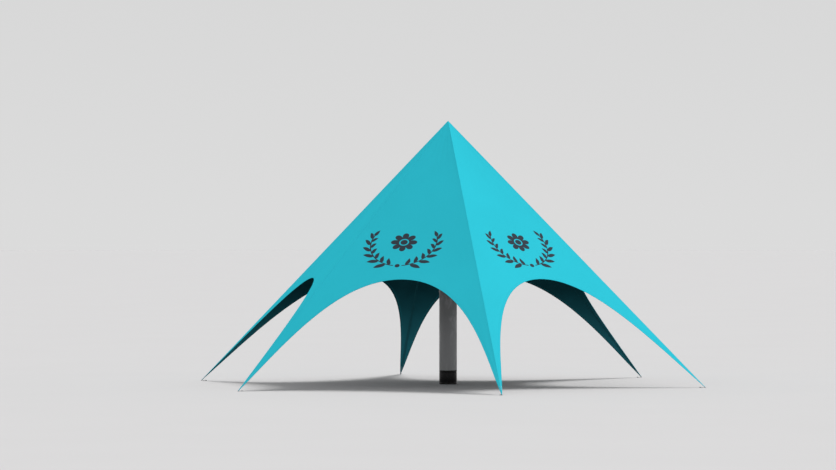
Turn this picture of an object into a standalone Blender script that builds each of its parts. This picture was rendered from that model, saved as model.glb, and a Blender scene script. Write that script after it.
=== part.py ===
"""A six-legged star tent: a taut cloth canopy on one round centre mast.

Six flat faces of cloth rise from six leg tips on the ground to one sharp peak. An arch is cut out of
the foot of every face, so the cloth reaches the ground only in narrow pointed legs, each folded along
its ridge. A webbing belt runs under every ridge from the peak patch to a bent steel shoe, which a
stake pins to the ground. The mast stands on a black foot and bears the peak on a cone.

Metres, +Z up, the origin on the ground under the peak. Two legs lie on the X axis, and one arch faces
-Y. A face is described by s, along its base from the middle, t, up its slope from the ground, and
depth, inwards from its outside. A leg is described by u, down its ridge from the peak.
"""

import math

import bmesh
import bpy
from mathutils import Vector

LEG_COUNT = 6
LEG_REACH = 5.0
PEAK_HEIGHT = 4.93
ARCH_CREST_SLOPE = 2.665
LEG_END_SLOPE = 0.02
LEG_END_WIDTH = 0.006
ARCH_CREST_HANDLE = 1.278
ARCH_FOOT_HANDLE = 1.038
ARCH_FOOT_STEEPNESS = 1.717
ARCH_STEPS = 22

GAP = 0.0003
CLOTH = 0.004
WEBBING = 0.003
BELT_HALF_WIDTH = 0.025
HEM_THICKNESS = 0.002
HEM_WIDTH = 0.05
HEM_LEAST_WIDTH = 0.008
PATCH_RIDGE = 0.42

MAST_RADIUS = 0.165
MAST_WALL = 0.004
MAST_SIDES = 48
FOOT_HEIGHT = 0.26
FOOT_WALL = 0.012
FOOT_FLOOR = 0.02
SPIGOT_LENGTH = 0.06
SECTION_COUNT = 3
COLLAR_HEIGHT = 0.06
COLLAR_THICKNESS = 0.004
HEAD_RIM = 0.03

SHOE_PLATE = 0.006
SHOE_TONGUE = 0.004
SHOE_TONGUE_LENGTH = 0.24
SHOE_TONGUE_WAIST = 0.128
SHOE_TONGUE_TIP_WIDTH = 0.007
SHOE_NOSE_RADIUS = 0.014
SHOE_HEEL_RADIUS = 0.027
STAKE_PLACE = 4.895
STAKE_RADIUS = 0.007
STAKE_HEAD_RADIUS = 0.016
STAKE_HEAD_HEIGHT = 0.011
STAKE_DOME_STEPS = 5
ROUND_STEPS = 24

HALF_SECTOR = math.pi / LEG_COUNT
APOTHEM = LEG_REACH * math.cos(HALF_SECTOR)
FACE_SLOPE = math.atan2(PEAK_HEIGHT, APOTHEM)
RIDGE_SLOPE = math.atan2(PEAK_HEIGHT, LEG_REACH)
RIDGE_LENGTH = math.hypot(PEAK_HEIGHT, LEG_REACH)
HALF_FOLD = math.asin(math.sin(FACE_SLOPE) * math.sin(HALF_SECTOR))
FACE_LENGTH = math.hypot(PEAK_HEIGHT, APOTHEM)
HALF_BASE = LEG_REACH * math.sin(HALF_SECTOR)

UNDER_CLOTH = CLOTH + GAP
TONGUE_TOP = RIDGE_LENGTH - SHOE_TONGUE_LENGTH


def material(name, colour, roughness, metallic):
    """A plain Principled finish."""
    made = bpy.data.materials.new(name)
    made.use_nodes = True
    shader = made.node_tree.nodes["Principled BSDF"]
    shader.inputs["Base Color"].default_value = (*colour, 1.0)
    shader.inputs["Roughness"].default_value = roughness
    shader.inputs["Metallic"].default_value = metallic
    return made


def clear_scene():
    """Removes whatever the file opened with."""
    for old in list(bpy.data.objects):
        bpy.data.objects.remove(old, do_unlink=True)


def mesh_of(name, vertices, faces):
    """A mesh with its faces turned outwards."""
    mesh = bpy.data.meshes.new(name)
    mesh.from_pydata([tuple(v) for v in vertices], [], faces)
    work = bmesh.new()
    work.from_mesh(mesh)
    bmesh.ops.recalc_face_normals(work, faces=work.faces)
    work.to_mesh(mesh)
    work.free()
    return mesh


def place(name, mesh, finish, azimuth=0.0):
    """One sub-part, turned about the mast's axis to its own azimuth."""
    part = bpy.data.objects.new(name, mesh)
    if not mesh.materials:
        mesh.materials.append(finish)
    part.rotation_euler.z = azimuth
    bpy.context.scene.collection.objects.link(part)
    return part


def slab(name, outer, inner):
    """A plate between two outlines that have the same number of points."""
    count = len(outer)
    faces = [list(range(count)), list(range(2 * count - 1, count - 1, -1))]
    for i in range(count):
        after = (i + 1) % count
        faces.append([i, after, count + after, count + i])
    return mesh_of(name, [*outer, *inner], faces)


def band(name, sections):
    """A bar carried through cross-sections that have the same number of points."""
    size = len(sections[0])
    last = (len(sections) - 1) * size
    faces = [list(range(size)), list(range(last, last + size))]
    for k in range(len(sections) - 1):
        for i in range(size):
            after = (i + 1) % size
            here = k * size
            there = here + size
            faces.append([here + i, here + after, there + after, there + i])
    return mesh_of(name, [v for section in sections for v in section], faces)


def turned(name, profile, steps, centre=0.0):
    """A round piece: the closed profile of (radius, height) spun about a vertical axis at x = centre."""
    work = bmesh.new()
    ring = [work.verts.new((centre + radius, 0.0, height)) for radius, height in profile]
    edges = [work.edges.new((ring[i - 1], ring[i])) for i in range(1, len(ring))]
    if profile[0][0] > 0.0:
        edges.append(work.edges.new((ring[-1], ring[0])))
    bmesh.ops.spin(
        work,
        geom=ring + edges,
        cent=(centre, 0.0, 0.0),
        axis=(0.0, 0.0, 1.0),
        angle=2.0 * math.pi,
        steps=steps,
        use_merge=True,
    )
    bmesh.ops.remove_doubles(work, verts=work.verts, dist=1e-5)
    bmesh.ops.recalc_face_normals(work, faces=work.faces)
    mesh = bpy.data.meshes.new(name)
    work.to_mesh(mesh)
    work.free()
    mesh.shade_smooth()
    mesh.set_sharp_from_angle(angle=math.radians(35.0))
    return mesh


def face_point(s, t, depth):
    """A point of the face whose outside looks towards +X."""
    out = APOTHEM - t * math.cos(FACE_SLOPE) - depth * math.sin(FACE_SLOPE)
    up = t * math.sin(FACE_SLOPE) - depth * math.cos(FACE_SLOPE)
    return Vector((out, s, up))


def mitre_s(t, depth):
    """How far along the base a face reaches, half a gap short of the upright plane through the ridge."""
    return face_point(0.0, t, depth).x * math.tan(HALF_SECTOR) - 0.5 * GAP / math.cos(HALF_SECTOR)


def mitre_top(depth):
    """How far up the slope a face reaches before the two mitres meet."""
    least = 0.5 * GAP / math.sin(HALF_SECTOR)
    return (APOTHEM - depth * math.sin(FACE_SLOPE) - least) / math.cos(FACE_SLOPE)


def arch_foot():
    """Where the arch meets the leg's end."""
    ridge = HALF_BASE * (1.0 - LEG_END_SLOPE / FACE_LENGTH)
    return Vector((ridge - LEG_END_WIDTH, LEG_END_SLOPE))


def arch_half():
    """Half an arch, crest to foot: one cubic curve, level at the crest and steep at the foot."""
    crest = Vector((0.0, ARCH_CREST_SLOPE))
    foot = arch_foot()
    level = crest + Vector((ARCH_CREST_HANDLE, 0.0))
    steep = foot + ARCH_FOOT_HANDLE * Vector((-1.0, ARCH_FOOT_STEEPNESS)).normalized()
    points = []
    for step in range(ARCH_STEPS + 1):
        q = step / ARCH_STEPS
        p = 1.0 - q
        points.append(p**3 * crest + 3 * p * p * q * level + 3 * p * q * q * steep + q**3 * foot)
    return points


def arch():
    """The whole arch, from one foot over the crest to the other."""
    half = arch_half()
    return [*reversed(half), *(Vector((-p.x, p.y)) for p in half[1:])]


def canopy_outline(depth):
    """A face's outline at one depth: the peak, down one ridge, over the arch, and up the other ridge."""
    foot = mitre_s(LEG_END_SLOPE, depth)
    outline = [(0.0, mitre_top(depth)), (foot, LEG_END_SLOPE)]
    outline += [(p.x, p.y) for p in arch()]
    outline.append((-foot, LEG_END_SLOPE))
    return [face_point(s, t, depth) for s, t in outline]


def canopy_panel_mesh():
    """One face of the canopy, with its arch cut out of its foot."""
    return slab("canopy_panel", canopy_outline(0.0), canopy_outline(CLOTH))


def room_to_belt(point, way):
    """How far a point of a face may go along way before it meets the belt under the ridge beside it."""
    to_ridge = Vector((FACE_LENGTH, HALF_BASE)) / RIDGE_LENGTH
    side = Vector((abs(point.x), point.y))
    heading = Vector((abs(way.x), way.y))
    distance = (HALF_BASE * FACE_LENGTH / RIDGE_LENGTH) - side.dot(to_ridge)
    return (distance - BELT_HALF_WIDTH - 2 * GAP) / max(heading.dot(to_ridge), 1e-6)


def hem_sections():
    """Cross-sections of the band under an arch's edge, narrowed where a leg leaves it less room."""
    line = arch()
    sections = []
    for i in range(1, len(line) - 1):
        along = (line[i + 1] - line[i - 1]).normalized()
        way = Vector((along.y, -along.x))
        width = min(HEM_WIDTH, room_to_belt(line[i], way))
        if width < HEM_LEAST_WIDTH:
            continue
        edge = line[i]
        inner = line[i] + width * way
        top = UNDER_CLOTH
        low = UNDER_CLOTH + HEM_THICKNESS
        corners = [(edge, top), (inner, top), (inner, low), (edge, low)]
        sections.append([face_point(p.x, p.y, depth) for p, depth in corners])
    return sections


def arch_hem_mesh():
    """The doubled band sewn inside along an arch's edge."""
    return band("arch_hem", hem_sections())


def under_ridge(u, depth):
    """The fold of a layer at one depth under the cloth, straight in from the ridge towards +X."""
    out = Vector((math.sin(RIDGE_SLOPE), 0.0, math.cos(RIDGE_SLOPE)))
    ridge = Vector((u * math.cos(RIDGE_SLOPE), 0.0, PEAK_HEIGHT - u * math.sin(RIDGE_SLOPE)))
    return ridge - depth / math.cos(HALF_FOLD) * out


def beside_ridge(u, width, depth, side):
    """A point of that layer, width away from the ridge down the face on one side of it."""
    out = Vector((math.sin(RIDGE_SLOPE), 0.0, math.cos(RIDGE_SLOPE)))
    across = width * math.cos(HALF_FOLD) - depth * math.sin(HALF_FOLD)
    drop = width * math.sin(HALF_FOLD) + depth * math.cos(HALF_FOLD)
    return under_ridge(u, 0.0) + side * across * Vector((0.0, 1.0, 0.0)) - drop * out


def folded_section(u, half_width, top, low):
    """A cross-section of a strap folded along the ridge, between two depths under the cloth."""
    return [
        under_ridge(u, top),
        beside_ridge(u, half_width, top, 1),
        beside_ridge(u, half_width, low, 1),
        under_ridge(u, low),
        beside_ridge(u, half_width, low, -1),
        beside_ridge(u, half_width, top, -1),
    ]


def ridge_belt_mesh():
    """The webbing strap under a ridge, from the peak patch to the shoe's tongue."""
    low = UNDER_CLOTH + WEBBING
    ends = (PATCH_RIDGE + GAP, TONGUE_TOP - GAP)
    return band("ridge_belt", [folded_section(u, BELT_HALF_WIDTH, UNDER_CLOTH, low) for u in ends])


def peak_patch_mesh():
    """The six-sided cap of doubled webbing that lines the peak."""
    rings = []
    for depth in (UNDER_CLOTH, UNDER_CLOTH + WEBBING):
        corner = under_ridge(PATCH_RIDGE, depth)
        ring = [Vector((0.0, 0.0, PEAK_HEIGHT - depth / math.cos(FACE_SLOPE)))]
        for k in range(LEG_COUNT):
            turn = 2.0 * k * HALF_SECTOR
            ring.append(Vector((corner.x * math.cos(turn), corner.x * math.sin(turn), corner.z)))
        rings.append(ring)
    size = LEG_COUNT + 1
    faces = []
    for k in range(LEG_COUNT):
        here = k + 1
        after = (k + 1) % LEG_COUNT + 1
        faces.append([0, here, after])
        faces.append([size, size + after, size + here])
        faces.append([here, size + here, size + after, after])
    return mesh_of("peak_patch", [*rings[0], *rings[1]], faces)


def lug_outline():
    """The shoe plate's outline: a round heel about the stake and a smaller nose, joined by tangents."""
    nose = LEG_REACH - SHOE_NOSE_RADIUS
    lean = math.acos((SHOE_HEEL_RADIUS - SHOE_NOSE_RADIUS) / (nose - STAKE_PLACE))
    half = ROUND_STEPS // 2
    points = []
    for step in range(half + 1):
        turn = -lean + 2.0 * lean * step / half
        points.append((nose + SHOE_NOSE_RADIUS * math.cos(turn), SHOE_NOSE_RADIUS * math.sin(turn)))
    for step in range(half + 1):
        turn = lean + 2.0 * (math.pi - lean) * step / half
        points.append(
            (STAKE_PLACE + SHOE_HEEL_RADIUS * math.cos(turn), SHOE_HEEL_RADIUS * math.sin(turn))
        )
    return points


def cut_below(mesh, height):
    """Cuts a solid off at a level and closes the cut."""
    work = bmesh.new()
    work.from_mesh(mesh)
    cut = bmesh.ops.bisect_plane(
        work,
        geom=[*work.verts, *work.edges, *work.faces],
        plane_co=(0.0, 0.0, height),
        plane_no=(0.0, 0.0, 1.0),
        clear_inner=True,
    )
    rim = [e for e in cut["geom_cut"] if isinstance(e, bmesh.types.BMEdge)]
    bmesh.ops.contextual_create(work, geom=rim)
    bmesh.ops.recalc_face_normals(work, faces=work.faces)
    work.to_mesh(mesh)
    work.free()


def combined(name, base, cuts):
    """A mesh with others joined to it or cut from it, as (operation, mesh) pairs."""
    body = bpy.data.objects.new(name, base)
    bpy.context.scene.collection.objects.link(body)
    tools = []
    for operation, mesh in cuts:
        tool = bpy.data.objects.new(name + "_tool", mesh)
        tool.hide_render = True
        tool.display_type = "WIRE"
        bpy.context.scene.collection.objects.link(tool)
        step = body.modifiers.new(operation.lower(), "BOOLEAN")
        step.operation = operation
        step.object = tool
        tools.append(tool)
    seen = body.evaluated_get(bpy.context.evaluated_depsgraph_get())
    result = bpy.data.meshes.new_from_object(seen)
    result.name = name
    for used in (body, *tools):
        bpy.data.objects.remove(used, do_unlink=True)
    return result


def leg_shoe_mesh():
    """The bent steel shoe: a plate on the ground and a folded tongue that runs up under the ridge."""
    low = UNDER_CLOTH + SHOE_TONGUE
    tip = RIDGE_LENGTH + SHOE_PLATE
    tongue = band(
        "shoe_tongue",
        [
            folded_section(TONGUE_TOP, BELT_HALF_WIDTH, UNDER_CLOTH, low),
            folded_section(RIDGE_LENGTH - SHOE_TONGUE_WAIST, SHOE_NOSE_RADIUS, UNDER_CLOTH, low),
            folded_section(tip, SHOE_TONGUE_TIP_WIDTH, UNDER_CLOTH, low),
        ],
    )
    cut_below(tongue, 0.5 * SHOE_PLATE)
    outline = lug_outline()
    plate = slab(
        "shoe_plate",
        [(x, y, SHOE_PLATE) for x, y in outline],
        [(x, y, 0.0) for x, y in outline],
    )
    bore = STAKE_RADIUS + GAP
    hole = turned(
        "stake_hole",
        [(0.0, -SHOE_PLATE), (bore, -SHOE_PLATE), (bore, 2 * SHOE_PLATE), (0.0, 2 * SHOE_PLATE)],
        ROUND_STEPS,
        STAKE_PLACE,
    )
    return combined("leg_shoe", plate, [("UNION", tongue), ("DIFFERENCE", hole)])


def ground_stake_mesh():
    """The part of a stake that shows above the ground: its shank in the shoe and its domed head."""
    seat = SHOE_PLATE + GAP
    top = seat + STAKE_HEAD_HEIGHT
    profile = [(0.0, 0.0), (STAKE_RADIUS, 0.0), (STAKE_RADIUS, seat), (STAKE_HEAD_RADIUS, seat)]
    skirt = seat + 0.3 * STAKE_HEAD_HEIGHT
    for step in range(STAKE_DOME_STEPS):
        turn = 0.5 * math.pi * step / STAKE_DOME_STEPS
        profile.append((STAKE_HEAD_RADIUS * math.cos(turn), skirt + (top - skirt) * math.sin(turn)))
    profile.append((0.0, top))
    return turned("ground_stake", profile, ROUND_STEPS, STAKE_PLACE)


def head_rim_height():
    """The level at which the mast's cone meets its upright rim, just clear of the peak patch."""
    clear = UNDER_CLOTH + WEBBING + GAP
    return PEAK_HEIGHT - clear / math.cos(FACE_SLOPE) - MAST_RADIUS * math.tan(FACE_SLOPE)


def mast_head_mesh():
    """The cone that bears the peak, hollow below, with a spigot down into the mast."""
    rim = head_rim_height()
    tip = rim + MAST_RADIUS * math.tan(FACE_SLOPE)
    bore = MAST_RADIUS - MAST_WALL - GAP
    inside = bore - FOOT_WALL
    shoulder = rim - HEAD_RIM
    hollow = rim - FOOT_WALL
    profile = [
        (0.0, tip),
        (MAST_RADIUS, rim),
        (MAST_RADIUS, shoulder),
        (bore, shoulder),
        (bore, shoulder - SPIGOT_LENGTH),
        (inside, shoulder - SPIGOT_LENGTH),
        (inside, hollow),
        (0.0, hollow + inside * math.tan(FACE_SLOPE)),
    ]
    return turned("mast_head", profile, MAST_SIDES)


def mast_foot_mesh():
    """The black foot: a closed floor, a thick wall of the mast's own width and a spigot up into the mast."""
    bore = MAST_RADIUS - MAST_WALL - GAP
    inside = bore - FOOT_WALL
    profile = [
        (0.0, 0.0),
        (MAST_RADIUS, 0.0),
        (MAST_RADIUS, FOOT_HEIGHT),
        (bore, FOOT_HEIGHT),
        (bore, FOOT_HEIGHT + SPIGOT_LENGTH),
        (inside, FOOT_HEIGHT + SPIGOT_LENGTH),
        (inside, FOOT_FLOOR),
        (0.0, FOOT_FLOOR),
    ]
    return turned("mast_foot", profile, MAST_SIDES)


def tube_mesh(name, radius, wall, low, high):
    """A plain round tube."""
    inside = radius - wall
    return turned(name, [(radius, low), (radius, high), (inside, high), (inside, low)], MAST_SIDES)


def mast_sections():
    """Each tube of the mast as its lower and upper end, with a gap between it and its neighbours."""
    pitch = (head_rim_height() - HEAD_RIM - FOOT_HEIGHT - GAP) / SECTION_COUNT
    lows = [FOOT_HEIGHT + k * pitch for k in range(SECTION_COUNT)]
    return [(low + GAP, low + pitch) for low in lows]


def build_canopy(cloth, trim, webbing):
    """The cloth faces with their hems, the ridge belts and the patch in the peak."""
    panel = canopy_panel_mesh()
    hem = arch_hem_mesh()
    belt = ridge_belt_mesh()
    for k in range(LEG_COUNT):
        leg = 2.0 * k * HALF_SECTOR
        face = leg + HALF_SECTOR
        place(f"canopy_panel_{k + 1}", panel, cloth, face)
        place(f"arch_hem_{k + 1}", hem, trim, face)
        place(f"ridge_belt_{k + 1}", belt, webbing, leg)
    place("peak_patch", peak_patch_mesh(), webbing)


def build_anchors(steel):
    """The shoe and the stake at each leg's tip."""
    shoe = leg_shoe_mesh()
    stake = ground_stake_mesh()
    for k in range(LEG_COUNT):
        leg = 2.0 * k * HALF_SECTOR
        place(f"leg_shoe_{k + 1}", shoe, steel, leg)
        place(f"ground_stake_{k + 1}", stake, steel, leg)


def build_mast(alloy, black):
    """The foot, the tubes with a collar round each joint, and the head."""
    place("mast_foot", mast_foot_mesh(), black)
    names = ("mast_lower_tube", "mast_middle_tube", "mast_upper_tube")
    sections = mast_sections()
    for name, (low, high) in zip(names, sections):
        place(name, tube_mesh(name, MAST_RADIUS, MAST_WALL, low, high), alloy)
    collar_radius = MAST_RADIUS + GAP + COLLAR_THICKNESS
    for name, (_, joint) in zip(("mast_lower_collar", "mast_upper_collar"), sections):
        low = joint - 0.5 * COLLAR_HEIGHT
        place(name, tube_mesh(name, collar_radius, COLLAR_THICKNESS, low, low + COLLAR_HEIGHT), alloy)
    place("mast_head", mast_head_mesh(), black)


def main():
    """Builds the tent at its real size."""
    clear_scene()
    cloth = material("turquoise_cloth", (0.03, 0.50, 0.62), 0.62, 0.0)
    trim = material("hem_tape", (0.02, 0.33, 0.41), 0.70, 0.0)
    webbing = material("dark_webbing", (0.02, 0.09, 0.105), 0.80, 0.0)
    alloy = material("mast_alloy", (0.62, 0.63, 0.64), 0.38, 1.0)
    black = material("black_plastic", (0.02, 0.02, 0.022), 0.55, 0.0)
    steel = material("zinc_steel", (0.55, 0.56, 0.57), 0.45, 1.0)
    build_canopy(cloth, trim, webbing)
    build_anchors(steel)
    build_mast(alloy, black)


main()
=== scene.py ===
import math

import bmesh
import bpy
import numpy as np
from bpy.props import FloatProperty, FloatVectorProperty, IntProperty, PointerProperty
from bpy.types import Operator, Panel, PropertyGroup
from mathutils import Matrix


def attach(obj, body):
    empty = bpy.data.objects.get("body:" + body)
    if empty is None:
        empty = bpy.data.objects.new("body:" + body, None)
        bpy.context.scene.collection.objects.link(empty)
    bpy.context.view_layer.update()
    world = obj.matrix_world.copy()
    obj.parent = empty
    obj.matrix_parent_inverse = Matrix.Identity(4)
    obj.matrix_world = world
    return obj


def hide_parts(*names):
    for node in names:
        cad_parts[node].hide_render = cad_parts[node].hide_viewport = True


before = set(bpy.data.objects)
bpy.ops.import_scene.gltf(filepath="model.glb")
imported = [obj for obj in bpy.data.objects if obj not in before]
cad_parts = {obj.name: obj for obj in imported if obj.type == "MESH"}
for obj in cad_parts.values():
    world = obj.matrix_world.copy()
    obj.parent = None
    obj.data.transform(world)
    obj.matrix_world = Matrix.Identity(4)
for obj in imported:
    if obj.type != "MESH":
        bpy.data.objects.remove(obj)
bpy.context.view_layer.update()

# A six-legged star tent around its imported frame. Metres, +Z up, the origin on the ground under the peak.
# A face is described by s, along its base from the middle, t, up its slope from the ground, and depth,
# inwards from its outside. A leg is described by a, up its ridge from the ground, and c, down one face
# or the other from the ridge. Sections are given as (across, depth) or (radius, height).

bl_info = {
    "name": "Star Tent",
    "version": (1, 0, 0),
    "blender": (4, 5, 0),
    "location": "View3D > Sidebar > Star Tent",
    "description": "Builds a six-legged star tent of taut cloth on one centre mast",
    "category": "Object",
}

# The pyramid: its legs, and the slope and the angles of its flat faces.
LEG_COUNT = 6
LEG_REACH = 5.0
PEAK_HEIGHT = 4.93
HALF_SECTOR = math.pi / LEG_COUNT
APOTHEM = LEG_REACH * math.cos(HALF_SECTOR)
HALF_BASE = LEG_REACH * math.sin(HALF_SECTOR)
FACE_LENGTH = math.hypot(PEAK_HEIGHT, APOTHEM)
RIDGE_LENGTH = math.hypot(PEAK_HEIGHT, LEG_REACH)
SLOPE_SIN = PEAK_HEIGHT / FACE_LENGTH
SLOPE_COS = APOTHEM / FACE_LENGTH
RIDGE_LEAN = math.atan2(FACE_LENGTH, HALF_BASE)
RIDGE_SPREAD = math.atan2(HALF_BASE, FACE_LENGTH)

# An arch: t of its crest and of its foot, how wide the leg's end is beside the ridge, how far its curve's
# handles reach, how steep it is at its foot, and its steps, in the canopy and to measure hems from.
CREST = 2.665
LEG_END = 0.02
LEG_END_WIDTH = 0.006
CREST_HANDLE = 1.278
FOOT_HANDLE = 1.038
FOOT_STEEPNESS = 1.717
ARCH_ROWS = 70
EDGE_STEPS = 160

# The cloth: its thickness, its felled seam, and the size of its six faces laid out flat as one fan. In
# its map each face has a strip FACE_PITCH wide. Faces numbered above FIRST_PRINTED are printed.
SHEET = 0.0012
SEAM_WIDTH = 0.013
SEAM_LIFT = 0.0008
FACE_PITCH = 8.0
FIRST_PRINTED = 3.5

# What lies under the cloth: the depths of its upper and lower side, and its size. Belts end BELT_GAP clear
# of their neighbours.
BELT_TOP, BELT_LOW = 0.0014, 0.0042
LINING_TOP, LINING_LOW = 0.0014, 0.0072
TONGUE_TOP, TONGUE_LOW = 0.0014, 0.0054
BELT_HALF = 0.025
BELT_GAP = 0.001
LINING_RIDGE = 0.42
TONGUE_LENGTH = 0.24
TONGUE_WAIST = 0.128
TONGUE_TIP_WIDTH = 0.007

# The hem tape: its width before it is folded, its stitched rows, its section from its outer edge round the
# arch's edge to its inner edge, the point at the fold, and half its thickness at each point.
HEM_STITCHES = (0.0405, 0.0465)
HEM_SECTION = np.array([
    (0.0090, -0.00045), (0.0050, -0.0009), (0.0012, -0.0010), (-0.0008, -0.0007), (-0.0014, 0.0004),
    (-0.0010, 0.0016), (0.0012, 0.0021), (0.0060, 0.0021), (0.0200, 0.0021), (0.0350, 0.0021),
    (0.0490, 0.0021), (0.0500, 0.0021)])
HEM_FOLD = 5
HEM_THICK = 0.001 * np.array([0.35, 0.55, 0.6, 0.6, 0.6, 0.6, 0.6, 0.65, 0.65, 0.65, 0.65, 0.35])

# The mast. GAP parts two pieces that touch. The foot and the head reach into the tubes as spigots, and the
# head's cone lies 7.6 mm under the cloth.
GAP = 0.0003
MAST_RADIUS = 0.165
MAST_WALL = 0.004
FOOT_HEIGHT = 0.26
FOOT_FLOOR = 0.02
SPIGOT_LENGTH = 0.06
SPIGOT_WALL = 0.012
SPIGOT_RADIUS = MAST_RADIUS - MAST_WALL - GAP
SPIGOT_BORE = SPIGOT_RADIUS - SPIGOT_WALL
HEAD_SIDE = 0.03
HEAD_RISE = MAST_RADIUS * SLOPE_SIN / SLOPE_COS
HEAD_RIM = PEAK_HEIGHT - 0.0076 / SLOPE_COS - HEAD_RISE
MAST_JOINTS = np.linspace(FOOT_HEIGHT, HEAD_RIM - HEAD_SIDE - GAP, 4)

# The ground fittings: where the stake stands, and the shoe's plate with the arcs of its two ends.
STAKE_PLACE = 4.895
PLATE = 0.006
NOSE_RADIUS = 0.014
HEEL_RADIUS = 0.027

# What the settings of every colour share, and where each rim of a grid lies: its axis and its end.
COLOUR = {"subtype": "COLOR", "size": 3, "min": 0.0, "max": 1.0}
RIMS = {"first": (0, 0), "last": (0, -1), "left": (1, 0), "right": (1, -1)}


class StarTentCloth(PropertyGroup):
    """The cloth, its hems and its belts."""

    cloth_colour: FloatVectorProperty(
        name="Cloth", description="Outside of the canopy", default=(0.033, 0.596, 0.738), **COLOUR)
    # The coating's colour is a dark copy of the cloth's turquoise: partly the coating's own tone, mostly
    # painted shade for the unlit inside of the tent.
    shaded_lining_colour: FloatVectorProperty(
        name="Coating", description="Coated inside of the canopy", default=(0.010, 0.080, 0.100), **COLOUR)
    tape_colour: FloatVectorProperty(
        name="Hem tape", description="Tape bound round every arch's edge", default=(0.030, 0.545, 0.675),
        **COLOUR)
    webbing_colour: FloatVectorProperty(
        name="Webbing", description="Belts under the ridges and the lining of the peak",
        default=(0.009, 0.062, 0.076), **COLOUR)
    print_colour: FloatVectorProperty(
        name="Print", description="Ornament printed above two of the arches",
        default=(0.048, 0.044, 0.058), **COLOUR)
    print_width: FloatProperty(
        name="Print width", description="Width of the printed ornament",
        default=1.55, min=0.4, max=1.8, unit="LENGTH")
    print_shift: FloatProperty(
        name="Print shift", description="How far the first ornament stands left of its face's middle",
        default=0.17, min=0, max=0.4, unit="LENGTH")
    print_height: FloatProperty(
        name="Print place", description="Middle of the ornament, up the slope from the ground",
        default=3.42, min=3.2, max=4.5, unit="LENGTH")
    sag: FloatProperty(
        name="Hollow", description="How far each face hangs in where it is deepest",
        default=0.02, min=0, max=0.04, unit="LENGTH")
    fold: FloatProperty(
        name="Folds", description="Half the depth of the folds pulled from the feet and the peak",
        default=0.0013, min=0, max=0.004, unit="LENGTH")
    wave: FloatProperty(
        name="Wave", description="Half the depth of the slow waves in a face",
        default=0.0015, min=0, max=0.005, unit="LENGTH")
    hem_width: FloatProperty(
        name="Hem width", description="Width of the doubled hem inside an arch",
        default=0.05, min=0.03, max=0.08, unit="LENGTH")


class StarTentMetal(PropertyGroup):
    """The mast and the ground fittings."""

    alloy_colour: FloatVectorProperty(
        name="Mast", description="Anodised tube of the mast", default=(0.26, 0.264, 0.268), **COLOUR)
    black_colour: FloatVectorProperty(
        name="Mast ends", description="Moulded foot and head of the mast",
        default=(0.0055, 0.0055, 0.006), **COLOUR)
    steel_colour: FloatVectorProperty(
        name="Ground fittings", description="Galvanised shoes and stakes", default=(0.55, 0.56, 0.57),
        **COLOUR)
    collar_bolts: IntProperty(
        name="Collar bolts", description="Button-head bolts round each collar", default=8, min=4, max=16)


class StarTentStage(PropertyGroup):
    """The floor, the light and the camera."""

    floor_colour: FloatVectorProperty(
        name="Floor", description="Plain pale floor", default=(0.60, 0.60, 0.61), **COLOUR)
    sky_strength: FloatProperty(
        name="Sky", description="Even light from overhead", default=0.50, min=0, max=2)
    key_strength: FloatProperty(
        name="Key", description="Soft light from high behind the right", default=2.4, min=0, max=8)
    lens: FloatProperty(
        name="Lens", description="Focal length in millimetres", default=180.9, min=20, max=400,
        unit="CAMERA")
    distance: FloatProperty(
        name="Distance", description="From the mast to the camera",
        default=78.63, min=20, max=150, unit="LENGTH")


# Shader maths


def plug(tree, socket, value):
    """Links an output to a socket, or sets the socket's own number or colour."""
    if isinstance(value, Wire):
        tree.links.new(value.socket, socket)
    elif hasattr(value, "__len__") and len(value) < len(socket.default_value):
        socket.default_value = (*value, 1.0)
    else:
        socket.default_value = value


def one_way(operation):
    """A method that adds one Math node, on the socket and whatever else the method is given."""
    def method(self, *others):
        return self.maths(operation, self, *others)

    return method


def both_ways(operation):
    """An operator's method and its reflected form, which has the socket on its right."""
    def reflected(self, other):
        return self.maths(operation, other, self)

    return one_way(operation), reflected


class Wire:
    """An output socket; arithmetic on it adds Math nodes."""

    def __init__(self, tree, socket):
        self.tree = tree
        self.socket = socket

    def maths(self, operation, *values):
        """One Math node on these values."""
        made = self.tree.nodes.new("ShaderNodeMath")
        made.operation = operation
        for socket, value in zip(made.inputs, values):
            plug(self.tree, socket, value)
        return Wire(self.tree, made.outputs[0])

    __add__, __radd__ = both_ways("ADD")
    __sub__, __rsub__ = both_ways("SUBTRACT")
    __mul__, __rmul__ = both_ways("MULTIPLY")
    __truediv__, __rtruediv__ = both_ways("DIVIDE")
    __mod__, __rmod__ = both_ways("FLOORED_MODULO")
    __pow__, __rpow__ = both_ways("POWER")
    __abs__, round = one_way("ABSOLUTE"), one_way("ROUND")
    least, most = one_way("MINIMUM"), one_way("MAXIMUM")
    # Angles are in radians, and arctan gives one from its rise and its run.
    sine, arctan = one_way("SINE"), one_way("ARCTAN2")

    def held(self):
        """The value, kept from nought to one."""
        return self.most(0.0).least(1.0)

    def below(self, edge, blur):
        """One where the value is less than edge, nought where it is more, over a ramp of width blur."""
        return ((edge - self) / blur + 0.5).held()

    def above(self, edge, blur):
        """One where the value is more than edge."""
        return 1.0 - self.below(edge, blur)


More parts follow.
